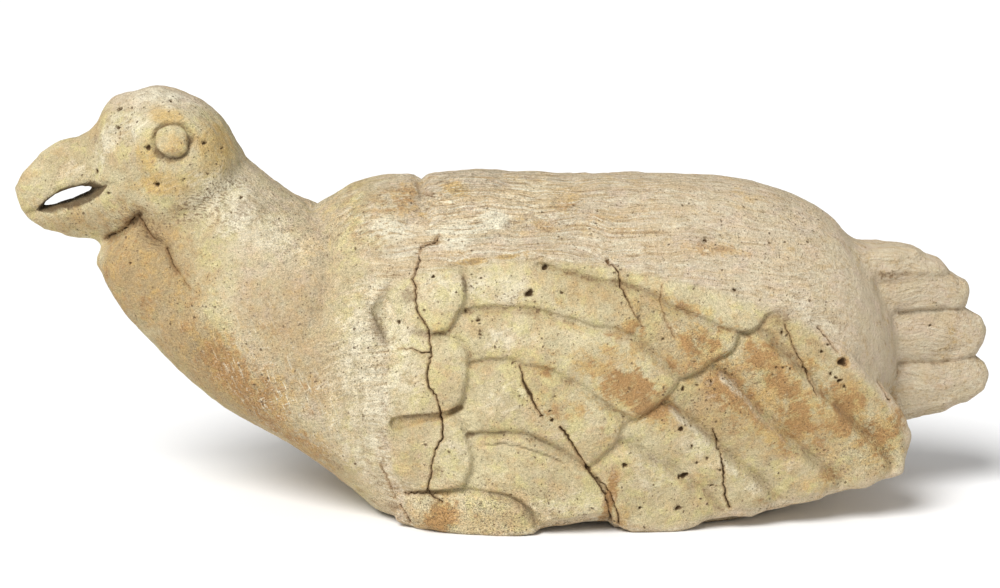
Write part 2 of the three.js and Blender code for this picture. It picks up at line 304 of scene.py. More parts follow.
# Each groove has its depth, how far the pads beside it take to round over, and its share of dirt.
FEATHER_CUTS = [
    (COVERT_1, 2.1, 8, 0.8), (COVERT_2, 2.5, 9, 0.6), (COVERT_3, 2.3, 9, 0.6), (COVERT_4, 2.4, 8, 0.95),
    (COVERT_5, 1.8, 7, 0.7), (TIP_0, 2.1, 6, 0.8), (TIP_1, 1.9, 7, 0.4), (TIP_2, 1.7, 7, 0.25),
    (TIP_3, 1.3, 7, 0.2), (TIP_4, 0.7, 5, 0.1), (LOBE_1, 1.5, 5.5, 0.4), (LOBE_2, 1.4, 5.5, 0.3),
    (LOBE_3, 1.0, 5.5, 0.1), (LOBE_1_FOOT, 1.3, 4, 0.7),
]
FLIGHT_CUTS = [
    (FLIGHT_1, 2.7, 8.5, 0.8), (FLIGHT_2, 2.9, 8, 0.6), (FLIGHT_3, 2.8, 8.5, 0.7),
    (FLIGHT_4, 2.4, 9, 0.6),
]
TAIL_GROOVES = [
    ([(164, 101.3), (177, 100), (197.4, 98.1)], 0.9, 2.2, 0.5),
    ([(174, 83.5), (190, 83.4), (210, 83.2)], 1.3, 2.2, 0.9),
    ([(175, 60), (194, 59.6), (213, 60.9)], 1.3, 2.2, 0.9),
]
# The notches between the tail's fingers and the breast's foot: each place is wiped smooth, all of it
# within the first distance and none of it beyond the second.
WIPED = [((189.4, 101.5), 4, 9), ((198, 86), 4, 9), ((202.5, 66), 4, 9), ((-45, 8), 9, 17)]
# The face: the eye, the gape, the brow's valley, and the creases under the cheek and the beak.
EYE = np.array([-139.8, -28.4, 161.2])
EYE_LEAN = 0.3
BROW = [(-158.5, 160), (-159.7, 167.2), (-155, 173), (-148, 176.8), (-137, 176.5)]
CHEEK = [(-113.6, 149), (-114.5, 141), (-116, 136), (-120, 131), (-129, 128), (-138, 125.7)]
CHIN = [(-174, 114.5), (-164.6, 120.5), (-156.1, 128)]
THROAT = [(-156.3, 126.7), (-150.5, 119.5), (-143.6, 114.8), (-140.6, 107.7), (-138, 104)]
LIP_END = [(-170, 140.8), (-168, 141.3), (-166, 141.6)]
BEAK_END = [(-202, 127.6), (-205, 126.4), (-207, 125.6)]
# Where the neck meets the shoulder, and a nick in the shoulder's top.
NECK_FOLD = [(-86, 150), (-82, 131), (-74, 119), (-75, 100), (-80, 78)]
SHOULDER_NICK = [(-37, 152), (-34, 138), (-32, 129)]
HEAD_OUTLINE = np.array([(-222, 105), (-222, 190), (-104, 190), (-104, 128), (-150, 100)], float)
FACE_FOLDS = [(BROW, 2.0, 7, 0), (CHEEK, 0.8, 9, 0)]
FACE_CREASES = [
    (CHIN, 3.8, 6, 1.0), (THROAT, 2.2, 6, 0.6), (LIP_END, 0.7, 2.5, 0.4), (BEAK_END, 1.2, 2.5, 0.9),
]

# The cracks on the left side, from the side: each with its half width at its start and end.
CRACKS = [
    ([(-25.5, 125), (-26.7, 121.3), (-33.5, 118.6), (-34.3, 116.6), (-33.8, 113.5), (-37.1, 106.2),
      (-35.4, 103), (-35.8, 97.8), (-34.5, 93.1), (-29.9, 86), (-29, 77.3), (-30.7, 67.8),
      (-29.8, 62.4), (-26.9, 59.7), (-24.9, 51.6), (-24, 41.3), (-27.4, 35.9)], 0.2, 0.25),
    ([(-27.4, 35.9), (-28.3, 32.3), (-29.2, 24.6), (-31, 17), (-24.6, 12.9)], 0.1, 0.3),
    ([(-29, 77.3), (-33, 76.8), (-37.1, 78.7), (-43, 78)], 0.15, -0.05),
    ([(45.1, 113.9), (48.4, 111.5), (50.1, 108.5), (50.5, 105.4), (52.9, 100.2)], 0.1, 0.3),
    ([(52.9, 100.2), (56.6, 92.8), (60.5, 87.5)], 0.15, -0.1),
    ([(8.4, 72.3), (9.6, 66.6), (11, 63.5), (13, 60.5)], 0.15, 0.6),
    ([(13, 60.5), (15, 56), (18, 50.8)], 0.45, 0),
    ([(25.2, 46.9), (27.5, 43.5), (30.7, 38.5), (36.3, 29.1), (40, 24.6)], 0.35, 0.3),
    ([(40, 24.6), (44.4, 17.5), (46.5, 11), (47.2, 2)], 0.25, 0.35),
    ([(40, 24.6), (43.8, 21), (46.6, 17), (48.1, 12.5), (49.9, 7.8), (50.5, 2)], 0.1, 0.25),
    ([(90, 43.7), (93.7, 32.1), (95.1, 24.4)], 0.1, 0.35),
    ([(95.1, 24.4), (94.8, 19.1), (96, 13), (98.1, 8.3)], 0.15, 0.35),
    ([(120.6, 86.7), (124.4, 77), (127.5, 71), (131.9, 62.4), (134.6, 56.8)], 0.1, 0.15),
    ([(-42.7, 9), (-40, 5), (-38.5, 1.5)], 0.2, 0.35),
    ([(-40.5, 14.8), (-29.8, 15.9), (-21.2, 16.3)], 0.1, 0),
    ([(135, 84.7), (140.1, 78.9), (143.5, 74.6)], 0.2, 0),
    ([(162.6, 58.9), (166.9, 52.6)], 0, 0.2),
    ([(68.2, 104.3), (67.3, 98.2), (68.9, 91.3), (73.5, 83.1)], -0.05, 0),
    ([(-143.6, 114.8), (-141.5, 110), (-140.6, 107.7), (-137, 103.5), (-133, 98.2)], 0.15, 0.05),
    ([(-173, 115), (-168, 118.2), (-164.6, 120.5), (-158.5, 126.5)], 0.35, 0.2),
    ([(-156.5, 127.5), (-152.5, 122), (-149, 118.5)], 0.3, 0.1),
    ([(-37, 141), (-33.5, 137.5), (-28, 137)], 0, 0.15),
    ([(-51, 27), (-47.6, 20), (-44.8, 12)], -0.05, 0.05),
]
# Lost grains of temper and burnt-out chaff left pits: each with its place and radius.
PITS = [
    (12.2, 101.8, 2.2), (18.9, 111.4, 1.3), (45.5, 114, 1.2), (76.3, 44.6, 1.5), (52.7, 29.5, 1.4),
    (78.4, 23.3, 1.6), (76.4, 23.5, 1.1), (87.6, 31.4, 0.9), (81.1, 37, 0.9), (145.7, 70.3, 2.4),
    (140.5, 65.5, 1), (142.7, 63.8, 0.9), (144.4, 62.4, 1.3), (146.6, 59.8, 1), (87.1, 121.1, 1.4),
    (-109.2, 77.7, 0.9), (-76.7, 70.2, 0.9), (-74.7, 53.9, 0.9), (93.9, 109.4, 1), (114.4, 102.1, 0.9),
    (-14.5, 93.5, 0.7), (-9.2, 90.6, 1.1), (-8.4, 84.8, 0.9), (77, 61.6, 1.2), (88.9, 64.6, 0.8),
    (82.9, 63.2, 0.7), (68.4, 82.8, 0.8), (26, 102.2, 0.9), (99.3, 101.4, 1), (136.5, 75, 0.9),
    (139.2, 77.7, 0.8), (119.3, 83.4, 1), (121.4, 82.1, 0.8), (116.7, 69.5, 0.8), (119.7, 69.3, 0.7),
    (122.7, 68.8, 0.7), (132.4, 113.6, 0.7), (-28.2, 107.7, 1), (-43.4, 88.8, 1.2), (23, 60, 0.8),
    (20.9, 53.8, 0.8), (21.8, 49.9, 1.1), (17.2, 51.7, 0.9), (93.3, 25.8, 0.8), (83.4, 29.4, 0.8),
    (90.1, 18.4, 0.9), (75.7, 9.4, 1.5), (59.4, 10, 0.9), (36.1, 7.1, 1.3), (33, 14.4, 0.9),
    (39, 10.6, 0.9), (-146.8, 142.6, 1.4), (-126.3, 160.5, 1.2), (-135, 145.3, 0.7), (-142.1, 176.8, 1),
    (-164.3, 173.3, 1.1), (-164.4, 166, 1.1), (-174.4, 146.5, 1), (-150.3, 158.8, 1.6),
    (-184, 157.6, 1.1), (-169.4, 137.4, 0.9), (-111.3, 136.8, 0.9), (-159.6, 108.3, 0.8),
    (189.5, 77, 0.8), (-115.3, 131, 0.7), (-119.7, 157.1, 0.6), (65.6, 116.5, 0.7),
]
# The outline of a lost flake in front of the lobes.
SCAR = np.array([
    (-56.5, 99), (-54, 92.6), (-50.6, 85.3), (-48.1, 80), (-43, 78), (-37.1, 78.7), (-30.2, 78),
    (-30.3, 85.1), (-35.4, 93), (-36.7, 97.8), (-42.2, 99.3), (-50.7, 100.7),
])
CRACK_WANDER = 0.24
HAND_STRAY = 0.45
CRACK_SEED = 11
PIT_SEED = 12
PIT_SHARE = 0.8
PIT_DEPTH = 1.1


def ragged(points, seed):
    """A crack's own line: straight runs through its points, broken into short jogs."""
    random = np.random.default_rng(seed)
    knots = np.array(points, float)
    rows = []
    for a, b in zip(knots[:-1], knots[1:]):
        jogs = max(2, round(np.linalg.norm(b - a) / 1.3))
        t = np.linspace(0, 1, jogs, endpoint=False)[:, None]
        wander = random.normal(0, CRACK_WANDER, (jogs, 2))
        wander[0] = 0
        rows.append(a + (b - a) * t + wander)
    return np.vstack([*rows, knots[-1:]])


crack_lines = [(ragged(points, CRACK_SEED + i), start, end) for i, (points, start, end) in enumerate(CRACKS)]
wing_outline = outline_of(WING_TOP, WING_REAR, WING_RIM, WING_FRONT)


def drawn(cuts, seed):
    """The hand-cut lines of these grooves: each strays a little from the smooth line."""
    rows = []
    for i, (points, depth, reach, dirt) in enumerate(cuts):
        line = through(points)
        flat = np.column_stack([line, np.zeros(len(line))])
        stray = [swell(flat, 11, seed + 2 * i), swell(flat, 11, seed + 2 * i + 1)]
        rows.append((line + HAND_STRAY * np.column_stack(stray), depth, reach, dirt))
    return rows


cut_lines = drawn(FEATHER_CUTS, 100)
flight_lines = drawn(FLIGHT_CUTS, 200)
wing_lines = cut_lines + flight_lines
tail_lines = drawn(TAIL_GROOVES, 300)
face_folds = drawn(FACE_FOLDS, 400)
face_lines = drawn(FACE_CREASES, 500)
body_lines = drawn([(NECK_FOLD, 4.2, 11, 0), (SHOULDER_NICK, 2.8, 6, 0)], 600)
slot_line = through(SLOT)
rib_line = through(COVERT_4_RIB)


def nearest(lines, side, reach=FAR):
    return np.min([gap_to(line[0], side, reach)[0] for line in lines], axis=0)


def in_pits(side):
    """How far each place is outside the nearest pit, and how deep that pit goes there."""
    random = np.random.default_rng(PIT_SEED)
    outside = np.full(len(side), float(FAR))
    depth = np.zeros(len(side))
    for x, z, size in PITS:
        turn, stretch = random.uniform(0, math.pi), random.uniform(1, 1.3)
        c, s = math.cos(turn), math.sin(turn)
        dx, dz = side[:, 0] - x, side[:, 1] - z
        bearing = np.arctan2(dz, dx)
        lumps = 1 + 0.1 * np.sin(2 * bearing + 3 * turn) + 0.13 * np.sin(3 * bearing + 5 * turn)
        gap = np.hypot((dx * c + dz * s) / stretch, (dz * c - dx * s) * stretch) / (lumps * PIT_SHARE)
        outside = np.minimum(outside, gap - size)
        depth = np.maximum(depth, PIT_DEPTH * size * (1 - ease(gap, 0.4 * size, 1.3 * size)))
    return outside, depth


def from_eye(places):
    """Each place's distance from the eye's own axis on its side of the head."""
    across = np.abs(places[:, 1]) + EYE[1]
    up = places[:, 2] - EYE[2]
    in_face = up * math.cos(EYE_LEAN) - across * math.sin(EYE_LEAN)
    return np.hypot(places[:, 0] - EYE[0], in_face)


# First cut: both wings, the head and the tail. The underside stays plain.
places = places_of(bird)
side = places[:, [0, 2]]
x, y, z = places.T
wide = np.abs(y)
standing = (wide > 58) | (z > 1)
fine = (depth_in(wing_outline, side) > -3) & (wide > 30) & standing
fine |= inside(HEAD_OUTLINE, side)
fine |= (x > 162) & (z > 24) & (wide < 28)
cut_finer(bird, fine)
apply_modifier(bird, "SHRINKWRAP", target=solid, wrap_method="NEAREST_SURFACEPOINT")

# Smoothing spares the feathers, the beak's edges, the rims and the tail.
HAND_PASSES = 22
LAST_PASSES = 3
GAPE_LOWERING = 0.24
GAPE_SHORTENING = 0.25
GAPE_INNER_FRONT = (-205, 129)
# Outside on the left its lips stand wider open, and the lower wall slants up from its lip.
LOWER_LIP_BOW = (-179, 122.8)
UPPER_LIP_BOW = (-188, 145.0)
LIP_REACH = 9
# How far the beak's skin stands from its middle plane, from front to back.
BEAK_HALF_WIDTH = [(-203, 7.9), (-190, 10.5), (-182, 12.6), (-176, 15.8), (-172, 19.2), (-169, 21)]


def beak_half(x):
    return np.interp(x, *np.array(BEAK_HALF_WIDTH).T)


places = places_of(bird)
# These three are views of the places, and follow each change to them.
x, y, z = places.T
# Inside the beak the opening is shorter and lower, so its corner shows a dark inner wall.
in_gape = depth_in(leaf, places[:, [0, 2]], 8) > -0.6
inner = in_gape * ease(np.abs(y), 14, 4)
closing = np.interp(x, [GAPE_FRONT[0], GAPE_CORNER[0]], [GAPE_FRONT[1], GAPE_CORNER[1]])
places[:, 2] += GAPE_LOWERING * inner * (closing - z)
places[:, [0, 2]] += GAPE_SHORTENING * inner[:, None] * (np.array(GAPE_INNER_FRONT) - places[:, [0, 2]])
near_skin = ease(-y / beak_half(x), 0.35, 0.95)
lips = []
for way, edge_bow, lip_bow in ((1, GAPE_UPPER_BOW, UPPER_LIP_BOW), (-1, GAPE_LOWER_BOW, LOWER_LIP_BOW)):
    edge = np.vstack([bow(GAPE_FRONT, edge_bow, GAPE_CORNER), GAPE_CORNER])
    lip = np.vstack([bow(GAPE_FRONT, lip_bow, GAPE_CORNER), GAPE_CORNER])
    edge_up, lip_up = (np.interp(x, *line.T) for line in (edge, lip))
    past = way * (z - edge_up)
    share = np.where(past > 0, 1 - ease(past, 0, LIP_REACH), ease(way * (z - closing), -1, 1))
    places[:, 2] += share * near_skin * (lip_up - edge_up)
    lips.append(lip[::way])
mouth_outline = np.vstack([lips[0][:-1], lips[1][:-1]])
put_places(bird, places)
side = places[:, [0, 2]]
from_gape = np.hypot((x - GAPE_MIDDLE[0]) / 1.7, z - GAPE_MIDDLE[1])
hand = 1 - ease(np.abs(y), 28, 36) * ease(depth_in(wing_outline, side), -5, -1)
hand *= ease(from_gape, 8, 15) * ease(x, -216, -198)
hand *= (1 - ease(x, 158, 170)) * ease(z, 4, 10)
hand = np.maximum(hand, 0.8 * ease(x, 172, 176) * ease(z, 99, 102))
hand = np.maximum(hand, 0.25 * ease(x, 165, 172))
for spot, within, beyond in WIPED:
    hand = np.maximum(hand, 1 - ease(np.hypot(*(side - spot).T), within, beyond))
apply_modifier(bird, "SMOOTH", factor=0.5, iterations=HAND_PASSES, vertex_group=weigh(bird, "hand", hand))
apply_modifier(bird, "SMOOTH", factor=0.5, iterations=LAST_PASSES)

# Second cut: along the left side's grooves, around the eyes and the gape, and on the tail's grooves.
# Third cut: along its cracks and round its pits.
# Across the figure, the left side's skin and its wing lie beyond these places.
LEFT_SKIN = -5
LEFT_WING = -20
places = places_of(bird)
side = places[:, [0, 2]]
x, y, z = places.T
fine = nearest(wing_lines + [(slot_line,), (rib_line,)], side, 8) < 2.6
fine |= np.abs(depth_in(SCAR, side, 8)) < 1.5
fine |= gap_to(slot_line, side, 8)[0] < 4.5
fine &= y < LEFT_WING
fine |= (y < -4) & (nearest(face_lines, side, 8) < 2.4) & inside(HEAD_OUTLINE, side)
fine |= (y < LEFT_SKIN) & (np.abs(depth_in(mouth_outline, side, 8)) < 1.6)
fine |= (np.abs(from_eye(places) - 7.6) < 3.2) & (z > 140) & (y < 0)
fine |= (y < 0) & (nearest(tail_lines, side, 8) < 1.8) & (x > 165)
fine |= (y < LEFT_SKIN) & ((nearest(crack_lines, side, 8) < 2.4) | (in_pits(side)[0] < 1.8))
cut_finer(bird, fine)
places = places_of(bird)
side = places[:, [0, 2]]
y = places[:, 1]
fine = (y < LEFT_SKIN) & ((nearest(crack_lines, side, 8) < 1.3) | (in_pits(side)[0] < 0.8))
fine |= (y < LEFT_WING) & (np.abs(gap_to(slot_line, side, 8)[0] - 2.2) < 1.3)
cut_finer(bird, fine)

# The wings. Each feather is a low pillow of clay, deepest in the cut lines beside it.
# The coverts' tips lie over the flight feathers, and the shoulder's lobes over the coverts' roots.
WING_OUT = [(-60, 58), (-40, 63), (0, 69), (50, 68.5), (100, 62.5), (140, 55.5), (176, 48.5)]
WING_BROADEST = 45
WING_CURVE_ABOVE = 0.0036
WING_CURVE_BELOW = 0.0015
FLIGHT_RISE = 1.1
COVERT_RISE = 3.0
LOBE_RISE = 3.2
BOTTOM_RISE = 3.8
PILLOW = 2.2
LEVEL_SHARE = 0.8
ABOVE_HALF = 3
ABOVE_SHARE = 0.36
# Each flight feather's upper edge stands a little over the feather above it.
FLIGHT_LIP = 1.9
FLIGHT_LIP_HALF = 1.3
FLIGHT_LIP_FADE = 7
STICK_CUT = 0.5
STICK_HALF = 0.8

wing_out_line = through(WING_OUT)
covert_outline = outline_of(
    [(-18, 113.5), *WING_TOP[2:]],
    TIP_0, TIP_1, TIP_2, TIP_3, TIP_4,
    [(48.5, 2.6), (48, -8), (20, -8), (17, 0)],
    COVERT_5[::-1][:4],
    [(-17, 17.1), (-18, 113.5)],
)
lobe_outline = outline_of(
    LOBE_1, LOBE_2, LOBE_3,
    [(-19.1, 17.4), (-41.8, 15.2), (-64, 15)],
    [(-64, 15), (-64, 113), (-25.3, 113.2)],
)
bottom_outline = outline_of(
    COVERT_5, [(17, 0), (16, -12)], [(16, -12), (-60, -12), (-60, 15), (-41.8, 14.9)]
)


def wing_face(side):
    """How far the wing's face lies from the middle plane, before its feathers."""
    x, z = side.T
    out = np.interp(x, *wing_out_line.T)
    above = z - WING_BROADEST
    return out - np.where(above > 0, WING_CURVE_ABOVE, WING_CURVE_BELOW) * above**2


def sunk(lines, side):
    """How deep the lines cut in. Above a level line the clay rounds down gently, below it steeply."""
    x, z = side.T
    cut = np.zeros(len(side))
    for line, depth, reach, _ in lines:
        gap, _ = gap_to(line, side, reach)
        pillow = PILLOW
        run, fall = np.abs(line[-1] - line[0])
        if run > LEVEL_SHARE * fall:
            row = line[np.argsort(line[:, 0])]
            above = np.tanh((z - np.interp(x, *row.T)) / ABOVE_HALF)
            pillow = PILLOW * (1 - ABOVE_SHARE * above)
        rounding = (1 - np.clip(gap / reach, 0, 1)) ** pillow
        cut = np.maximum(cut, depth * (0.6 * rounding + 0.4 * (1 - ease(gap, 0.5, 2.1))))
    return cut


def below_line(line, side, reach=FAR):
    """How far each place lies below a line, less than 0 above it, and where along it."""
    gap, along = gap_to(line, side, reach)
    x, z = side.T
    return gap * np.where(z < np.interp(x, *line.T), 1, -1), along


def feathers(side):
    """How far the feathers stand out from the wing's face."""
    x, z = side.T
    top = np.interp(x, *through(WING_TOP).T)
    rise = 0.3 + (COVERT_RISE - 0.3) * ease(top - z, 0, 14)
    rise = 0.4 + (rise - 0.4) * ease(x, -18, 12)
    level = FLIGHT_RISE + (rise - FLIGHT_RISE) * ease(depth_in(covert_outline, side), -0.8, 1.6)
    lobes = (LOBE_RISE + 0.5) * ease(x, -58, -34) - 0.5
    level += (lobes - level) * ease(depth_in(lobe_outline, side), -0.6, 2.2)
    bottom = (BOTTOM_RISE + 0.5) * ease(x, -50, -36) - 0.5
    level += (bottom - level) * ease(depth_in(bottom_outline, side), -0.6, 2.2)
    for line, _, _, _ in flight_lines:
        below, along = below_line(line, side)
        lip = FLIGHT_LIP * np.tanh(below / FLIGHT_LIP_HALF) * np.exp(-np.abs(below) / FLIGHT_LIP_FADE)
        level += lip * ease(along, 0, 0.1) * ease(along, 1, 0.85)
    return level - sunk(wing_lines, side)


places = places_of(bird)
normals = read(bird.data.vertex_normals, "vector", 3)
left = places[:, 1] < 0
outward = np.where(left, -1.0, 1.0)
# The right wing is the same work by the same hand, so its lines stray a little from the left one's.
stray = np.column_stack([swell(places, 90, 5), swell(places, 80, 6)]) * np.where(left, 0, 1.6)[:, None]
side = places[:, [0, 2]] + stray
x, z = side.T
face = wing_face(side) + feathers(side)
off_face = face - np.abs(places[:, 1])
on_wing = ease(depth_in(wing_outline, side), 0.3, 4.5)
on_wing *= (1 - ease(np.abs(off_face), 6, 9)) * ease(normals[:, 1] * outward, 0.05, 0.35)
# The lowest pad fades into the breast in front.
on_wing *= np.maximum(ease(x, -46, -30), ease(z, 14, 26))
places[:, 1] += outward * off_face * on_wing
put_places(bird, places)

# Fine strokes of the stick: a thin cut in the floor of the sharper grooves, a rib under one covert, and
# the broad slot across the lobes. The first covert has a raised border, worn from the rest of it.
SLOT_DEPTH = 2.6
RIB_STEP = 0.7
BORDER_STEP = 1.0
side = places[:, [0, 2]]
x, z = side.T
on_left = (left & (on_wing > 0.3)).astype(float)
cut = np.zeros(len(side))
for line, _, _, dirt in cut_lines:
    cut = np.maximum(cut, STICK_CUT * dirt * bell(gap_to(line, side, 6)[0], STICK_HALF))
rib_gap, rib_at = gap_to(rib_line, side, 8)
above_rib = z > np.interp(x, *rib_line.T)
rib_step = np.where(above_rib, ease(rib_gap, 1.5, 4.2) - 1, 1 - ease(rib_gap, 0, 1.6))
cut += RIB_STEP * rib_step * ease(rib_at, 1, 0.8)
slot_gap, slot_at = gap_to(slot_line, side, 8)
slot_half = 2.9 - 2.1 * slot_at
in_slot = 1 - ease(slot_gap, slot_half - 0.4, slot_half + 0.7)
cut += SLOT_DEPTH * in_slot
border = np.minimum(gap_to(through(COVERT_1), side, 8)[0], gap_to(through(TIP_1), side, 8)[0])
covert_1_outline = outline_of(COVERT_1[2:], TIP_1, COVERT_2[::-1][:3], [(54.5, 84.5), (58.9, 102.5)])
cut += BORDER_STEP * ease(border, 3.2, 4.6) * ease(depth_in(covert_1_outline, side), 0, 3)
places[:, 1] += cut * on_left
put_places(bird, places)

# The face. The eye is a low disc in a cut ring, on a broad swelling of the cheek.
EYE_DISC = 6.2
EYE_RISE = 0.6
EYE_DOME = 0.8
EYE_RING = 7.5
EYE_RING_HALF = 0.95
EYE_RING_DEPTH = 2.4
ORBIT_RISE = 1.5
FOREHEAD = (-170, 172)
FOREHEAD_RISE = 2.2
TAIL_FLATTENING = 1.4
TAIL_FLAT_HALF = 3.4

places = places_of(bird)
normals = read(bird.data.vertex_normals, "vector", 3)
side = places[:, [0, 2]]
x, y, z = places.T
radius = from_eye(places) + 0.6 * swell(places, 9, 31) + 0.35 * swell(places, 5, 32)
facing = np.abs(y) > 10
eye = EYE_RISE * (1 - ease(radius, EYE_DISC - 2.4, EYE_DISC + 0.8))
eye += EYE_DOME * np.clip(1 - (radius / EYE_DISC) ** 2, 0, 1)
eye += ORBIT_RISE * (1 - ease(radius, 12, 21))
eye -= EYE_RING_DEPTH * bell(radius - EYE_RING, EYE_RING_HALF)
on_head = facing & (z > 135) & (x < -112)
eye += 0.5 * swell(places, 5, 33) * (1 - ease(radius, 6, 12))
push = np.where(on_head, eye, 0)
creases = sunk(face_lines + face_folds, side)
push -= np.where((y < 0) & (x < -104), creases, 0.7 * creases * (x < -104))
# The forehead stands up steeply from the beak.
forehead = np.exp(-(((x - FOREHEAD[0]) / 7) ** 2) - ((z - FOREHEAD[1]) / 9) ** 2)
push += FOREHEAD_RISE * forehead * (z > 140)
# The tail's lines are cut on both sides, between fingers that lie nearly flat beside them.
tail_gap = nearest(tail_lines, side)
beside_line = TAIL_FLATTENING * bell(tail_gap, TAIL_FLAT_HALF) * ease(x, 212, 200)
push += np.where(x > 160, beside_line - sunk(tail_lines, side), 0)
push -= np.where(x < -20, sunk(body_lines, side), 0) * ease(z, 74, 96)

# The hand left the whole surface a little uneven, and the neck and breast a little more so.
plain = 1 - on_wing
push += plain * (0.5 * swell(places, 34, 21) + 0.28 * swell(places, 12, 22))
push += on_wing * (0.35 * swell(places, 16, 23))
push += 0.14 * swell(places, 6, 24) + 0.05 * swell(places, 3, 25)
push *= ease(z, -1.5, 4)
places += normals * push[:, None]

# Wear on the left side. A flake is lost in front of the lobes and a chip from the wing's lower rim,
# cracks run down through the shoulder and the wing, and lost grains have left pits.
SCAR_DEPTH = 1.9
CHIP_RISE = 2.8
CHIP_START = 6
CHIP_END = 47.5
CRACK_DEPTH = 1.8

chip = ease(x, CHIP_START, 26) * ease(x, CHIP_END + 1, CHIP_END - 0.5)
chip *= (1 - ease(z, 2, 16)) * ease(-y, 30, 50)
places[:, 2] += CHIP_RISE * chip
normals = read(bird.data.vertex_normals, "vector", 3)
side = places[:, [0, 2]]
outer = (y < LEFT_SKIN) & (normals[:, 1] < 0.1)
scar = depth_in(SCAR, side)
push = -SCAR_DEPTH * ease(scar, -0.3, 0.7) * (0.3 + 0.7 * ease(x, -34, -50)) * ease(z, 100, 92)
crack = np.full(len(side), float(FAR))
for line, start, end in crack_lines:
    gap, at = gap_to(line, side)
    crack = np.minimum(crack, gap - start - (end - start) * at)
push -= CRACK_DEPTH * (1 - ease(crack, -0.4, 0.45))
pit, pit_depth = in_pits(side)
push -= pit_depth
places += normals * np.where(outer, push, 0)[:, None]
places[:, 2] = np.maximum(places[:, 2], DRAWING_ZERO[2])
put_places(bird, places)
crack[~outer] = FAR
pit[~outer] = FAR

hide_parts("bird")
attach(bird, "root")

# What the years left on it, from the side: each patch with its middle, half lengths, turn and strength.
# Red-brown firing stains, tan wear, yellow ochre, and chalky pale rubbing.
STAINS = [
    (-112, 60, 28, 12, -45, 1), (-92, 38, 22, 8, -42, 0.8), (86, 78, 14, 6, -28, 1.1),
    (59, 60.5, 17, 8, -38, 1.15), (46, 77, 13, 8, -20, 0.4), (100, 58, 14, 6, -38, 1.15),
    (121, 61, 15, 7, -42, 1), (147, 52, 16, 7, -48, 0.95), (159, 36, 12, 9, -50, 0.8),
    (-26, 4, 6, 8, -20, 1.15), (84, 93, 17, 3, -22, 0.5), (116, 40, 13, 4, -45, 0.7),
    (46, 13, 2.6, 15, -14, 1.3), (52, 6, 4, 5, 0, 0.7), (145.7, 70.3, 3, 2.6, 0, 1.5),
    (103, 46, 8, 4, -40, 0.25), (134, 36, 14, 4, -45, 0.5), (18, 54, 5, 12, 0, 0.35),
    (92, 86, 12, 4, -30, 0.45), (110, 73, 9, 6, -35, 1), (72, 72, 8, 4, -30, 0.5),
    (112, 77, 4.5, 4, 0, 0.9), (134, 69, 6, 3, -20, 0.85), (166, 41, 7, 10, -50, 0.9),
    (120, 40, 8, 3, -30, 0.75), (56, 88, 6, 3.5, -20, 0.75), (140, 21, 5, 3.5, 0, 0.7),
    (129, 17, 5, 4, 0, 0.5), (111, 11, 4, 2, 0, 0.7), (19, 70.5, 7, 2.5, 0, 0.8),
    (40, 71, 13, 8, -35, 0.5), (34, 57, 6, 10, -20, 0.4), (28, 134, 10, 3, -8, 0.7),
    (53, 125, 18, 1.5, -3, 0.6), (47, 129.5, 14, 1.6, 0, 0.55), (18, 126.7, 12, 2.5, -4, 0.6),
    (-24, 131.5, 1.8, 7, 10, 0.6), (-42, 134, 10, 6, 10, 0.7), (-154, 104, 22, 18, -50, 0.5),
    (124, 50, 14, 7, -45, 1.05), (143, 46, 12, 6, -45, 0.9), (161, 39, 9, 9, -60, 1),
    (47, 63, 9, 6, -30, 0.7), (90, 118, 16, 3, -8, 0.4), (-75, 50, 8, 22, 25, 0.4),
]
TANS = [
    (-125, 66, 42, 17, -48, 1), (-150, 100, 24, 24, -50, 1), (-85, 33, 36, 11, -42, 0.7),
    (-15, 5, 32, 10, 0, 0.5), (72, 79, 32, 12, -30, 0.6), (50, 63, 26, 12, -40, 0.5),
    (42, 70, 18, 12, -30, 0.65), (75, 90, 22, 6, -25, 0.5), (-85, 78, 40, 26, -48, 0.68),
    (40, 103, 34, 8, -15, 0.5), (-150, 118, 16, 12, -50, 1.1), (-160, 108, 12, 15, -50, 1.3),
    (-190, 121, 22, 7, 15, 0.75), (-163, 150, 6, 14, 0, 0.3), (52, 8, 12, 12, 0, 0.5),
    (27, 60, 12, 12, -20, 0.35),
]
OCHRES = [
    (-151, 155, 5, 10, 0, 0.9), (-142, 171.5, 10, 4, -10, 1), (-123, 156, 9, 14, 0, 0.95),
    (-139, 143, 18, 7, 0, 0.9), (-136, 160, 13, 12, 0, 0.6), (17, 80, 14, 5, -8, 0.35),
    (-43, 136, 12, 4, 0, 0.5), (-19, 139.5, 7, 2.6, -8, 1.2), (13, 140.5, 15, 4, 2, 0.6),
    (-10.6, 128.8, 8, 2, 0, 0.7), (7, 127.8, 9, 4, 0, 0.6), (-76, 130, 9, 6, 0, 0.5),
    (-81, 115, 9, 7, 0, 0.5), (-36, 131, 7, 3, 0, 0.5), (23, 135, 16, 6, 10, 0.6),
    (105, 133, 12, 5, -5, 0.5), (-12, 113.3, 7, 1, 4, 1.6), (3, 115.6, 5.5, 1, 6, 1.6),
    (-190, 124, 16, 6, 0, 0.3), (-150, 92, 20, 14, -40, 0.3), (66, 97, 8, 5, 0, 0.35),
    (-25, 86, 6, 4, 0, 0.45), (-47, 88, 6, 10, 0, 0.5), (30, 55, 12, 16, -30, 0.25),
    (-13, 16, 20, 2, 0, 0.3), (-32, 47, 10, 2.5, 12, 0.5),
]
